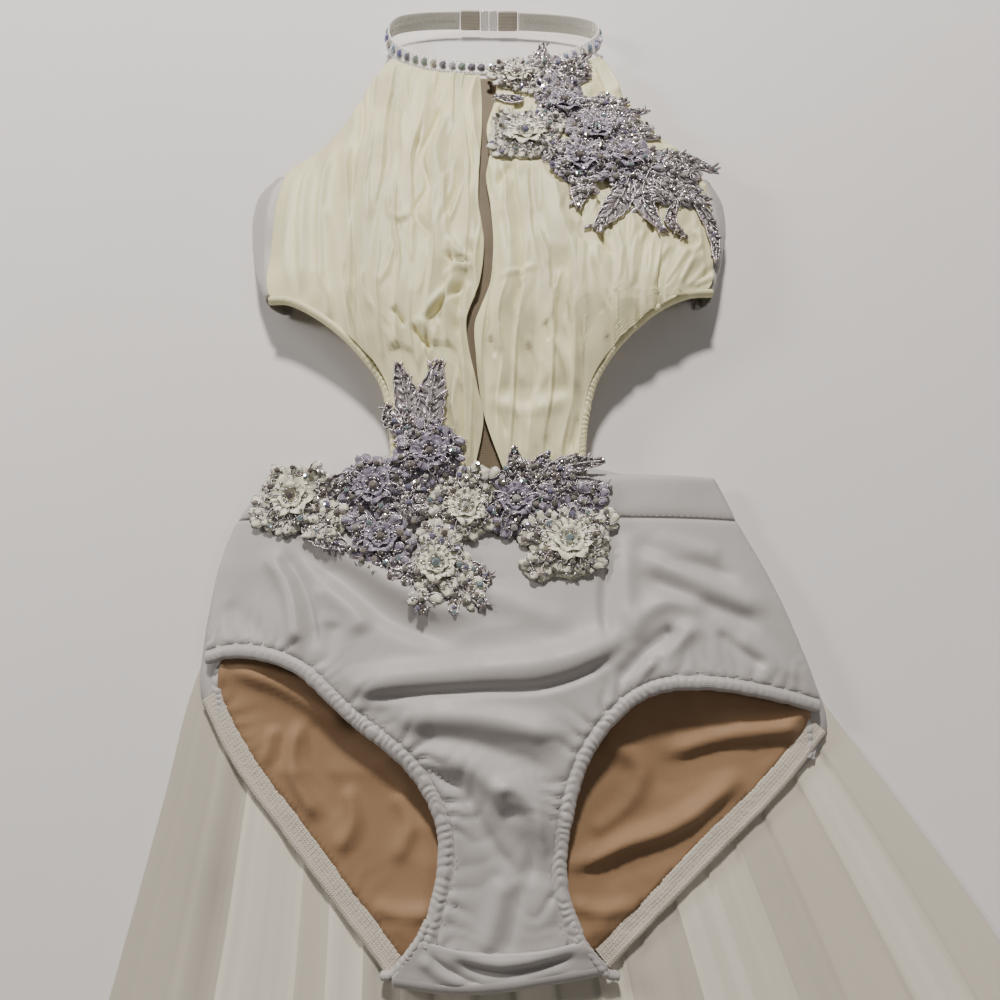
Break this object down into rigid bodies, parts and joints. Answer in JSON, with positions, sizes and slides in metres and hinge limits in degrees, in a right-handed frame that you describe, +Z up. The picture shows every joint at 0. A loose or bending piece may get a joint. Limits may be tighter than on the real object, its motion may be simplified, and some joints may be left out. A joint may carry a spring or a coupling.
{
  "type": "lyrical dance costume",
  "caption": "Child's halter dance leotard with cut-out waist, gathered bodice, flower applique, high briefs and a chiffon back skirt, laid flat face up.",
  "frame": {"origin": "on the floor under the middle of the back waist seam, where the skirt lies flat", "axes": "+Z up off the surface the costume lies on, +Y from the waist to the neck, +X to the right seen from above"},
  "size_m": [0.488, 0.8214, 0.033],
  "materials": {
    "white_spandex": "matte stretch knit with a faint sheen",
    "ivory_chiffon": "crinkled sheer chiffon",
    "skirt_chiffon": "sheer chiffon",
    "nude_lining": "smooth lining knit",
    "nude_mesh": "fine mesh",
    "elastic": "zig-zag stitched elastic",
    "silver_lace": "metallic cord embroidery",
    "lavender_petal": "organza petals",
    "cream_petal": "organza petals",
    "clear_plastic": "clear"
  },
  "bodies": {
    "root": {"skirt": "skirt_chiffon", "brief_back": "white_spandex", "brief_lining": "nude_lining", "brief_front": "white_spandex", "waistband": "white_spandex", "leg_casing_left": "white_spandex", "leg_casing_right": "white_spandex", "leg_tape_left": "elastic", "leg_tape_right": "elastic", "gusset": "white_spandex", "bodice_left": "ivory_chiffon", "bodice_right": "ivory_chiffon", "nude_insert": "nude_mesh", "piping_left": "ivory_chiffon", "piping_right": "ivory_chiffon", "side_left": "white_spandex", "side_right": "white_spandex", "back_band": "white_spandex", "neckband": "elastic", "neck_tab_left": "elastic", "clasp_hook": "clear_plastic", "clasp_eye": "clear_plastic", "neck_tab_right": "elastic", "lace_waist": "silver_lace", "lace_shoulder": "silver_lace", "flower_cream_hip": "cream_petal", "flower_lavender_left": "lavender_petal", "flower_lavender_top": "lavender_petal", "flower_lavender_low": "lavender_petal", "flower_cream_middle": "cream_petal", "flower_cream_low": "cream_petal", "flower_lavender_right": "lavender_petal", "flower_cream_right": "cream_petal", "flower_cream_neck": "cream_petal", "flower_lavender_neck": "lavender_petal", "flower_cream_bust": "cream_petal", "flower_lavender_bust": "lavender_petal", "flower_lavender_outer": "lavender_petal", "flower_lavender_side": "lavender_petal"}
  },
  "joints": []
}
